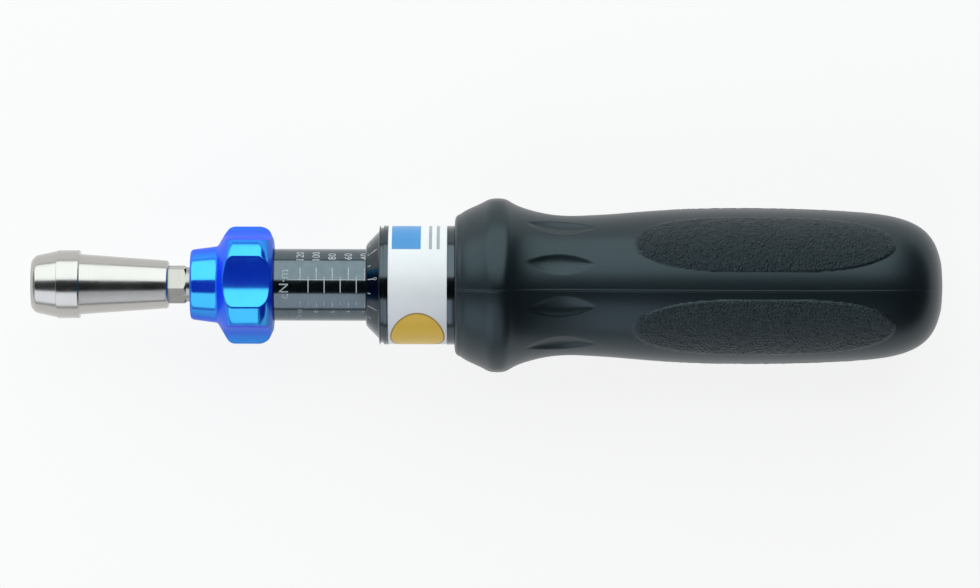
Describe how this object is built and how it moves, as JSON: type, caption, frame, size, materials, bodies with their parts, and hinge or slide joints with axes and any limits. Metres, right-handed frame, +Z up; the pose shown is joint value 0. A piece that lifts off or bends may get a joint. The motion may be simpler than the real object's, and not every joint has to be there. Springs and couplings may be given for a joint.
{
  "type": "torque screwdriver",
  "caption": "Adjustable slipping-clutch torque screwdriver with a hexagon bit holder, lobed setting knob, engraved scale sleeve and moulded handle.",
  "frame": {"origin": "on the tool's axis at the mouth of the bit socket, in the bit holder's front face", "axes": "+X along the tool's axis from the bit holder towards the end of the handle, +Z up as the tool lies on a table, one handle ridge on top"},
  "size_m": [0.1674, 0.032, 0.0322],
  "materials": {
    "stainless_steel": "fine turned satin",
    "spring_steel": "drawn spring wire",
    "plated_magnet": "nickel plated",
    "blue_anodised": "glossy blue anodised",
    "black_steel": "blackened",
    "black_anodised": "satin black anodised, engraved pale scale",
    "bronze": "machined bronze",
    "hardened_steel": "ground",
    "black_housing": "satin black",
    "seal_rubber": "black rubber",
    "printed_label": "white printed film",
    "handle_plastic": "matte black moulded, fine grain"
  },
  "bodies": {
    "housing": {"housing": "black_housing", "handle": "handle_plastic", "label_band": "printed_label", "sleeve_seal": "seal_rubber", "clutch_plug": "black_steel", "fixed_cam": "hardened_steel", "cam_dowels": "hardened_steel", "clutch_balls": "hardened_steel", "ball_cage": "bronze", "rear_bush": "bronze"},
    "spindle": {"drive_spindle": "stainless_steel", "bit_holder": "stainless_steel", "bit_clip": "spring_steel", "holder_clip": "spring_steel", "bit_magnet": "plated_magnet", "spindle_washer": "hardened_steel", "spindle_circlip": "spring_steel"},
    "clutch_cam": {"sliding_cam": "hardened_steel", "rear_spring_seat": "hardened_steel", "main_spring": "spring_steel"},
    "spring_seat": {"front_spring_seat": "hardened_steel", "thrust_washer": "hardened_steel", "thrust_balls": "hardened_steel"},
    "adjuster": {"adjusting_knob": "blue_anodised", "knob_set_screw": "black_steel", "scale_sleeve": "black_anodised", "front_bush": "bronze", "calibration_nut": "bronze"}
  },
  "joints": [
    {"name": "output_spin", "type": "hinge", "parent": "housing", "child": "spindle", "pos_m": [0, 0, 0], "axis": [1, 0, 0], "continuous": true},
    {"name": "clutch_lift", "type": "slide", "parent": "spindle", "child": "clutch_cam", "axis": [-1, 0, 0], "range_m": [0, 0.00085], "stiffness_N_per_m": 10800, "deforming": ["main_spring"]},
    {"name": "torque_setting_travel", "type": "slide", "parent": "housing", "child": "spring_seat", "axis": [1, 0, 0], "range_m": [-0.003, 0.012], "deforming": ["main_spring"]},
    {"name": "torque_setting_turn", "type": "hinge", "parent": "spring_seat", "child": "adjuster", "pos_m": [0.0369, 0, 0], "axis": [1, 0, 0], "range_deg": [-720, 2880]}
  ],
  "couplings": [
    {"joint": "torque_setting_travel", "follows": "torque_setting_turn", "m_per_rad": 0.00023873}
  ]
}
